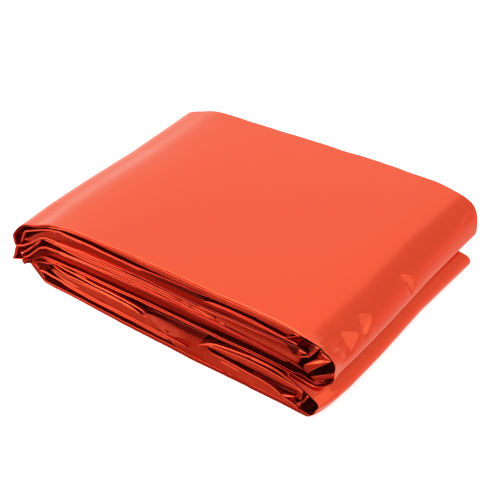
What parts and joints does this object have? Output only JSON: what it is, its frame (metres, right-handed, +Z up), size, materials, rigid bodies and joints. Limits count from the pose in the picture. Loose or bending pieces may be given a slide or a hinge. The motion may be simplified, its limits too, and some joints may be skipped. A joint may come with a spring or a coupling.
{
  "type": "emergency foil blanket",
  "caption": "Emergency blanket of thin glossy metallised film, folded back and forth into a flat hand-sized block with rolled right ends and hanging left folds.",
  "frame": {"origin": "middle of the footprint's bounding box, on the surface the block lies on", "axes": "+X along the block towards its rolled ends, +Y from the front edges of the folds to the back ones, +Z up"},
  "size_m": [0.1528, 0.103, 0.0367],
  "materials": {
    "foil": "glossy metallised film"
  },
  "bodies": {
    "root": {"foil_blanket": "foil"}
  },
  "joints": []
}
